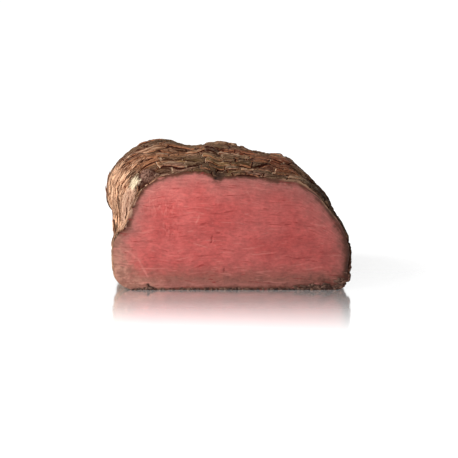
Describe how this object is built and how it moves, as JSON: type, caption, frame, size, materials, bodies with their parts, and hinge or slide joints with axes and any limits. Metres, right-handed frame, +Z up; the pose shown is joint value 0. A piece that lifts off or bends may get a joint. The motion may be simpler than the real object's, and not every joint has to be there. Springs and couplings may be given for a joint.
{
  "type": "roast beef joint",
  "caption": "Carved roast beef joint with a flat pink cut face, a craggy browned crust of coarse meat strands and a flat underside to rest on.",
  "frame": {"origin": "middle of the underside, at the centre of the joint's box in plan", "axes": "+X along the cut face to its right, +Y from the cut face back into the joint, +Z up"},
  "size_m": [0.1536, 0.0988, 0.0864],
  "materials": {
    "roast_beef": "dry, craggy brown roasted crust with a moist pink cut face"
  },
  "bodies": {
    "root": {"roast_joint": "roast_beef"}
  },
  "joints": []
}
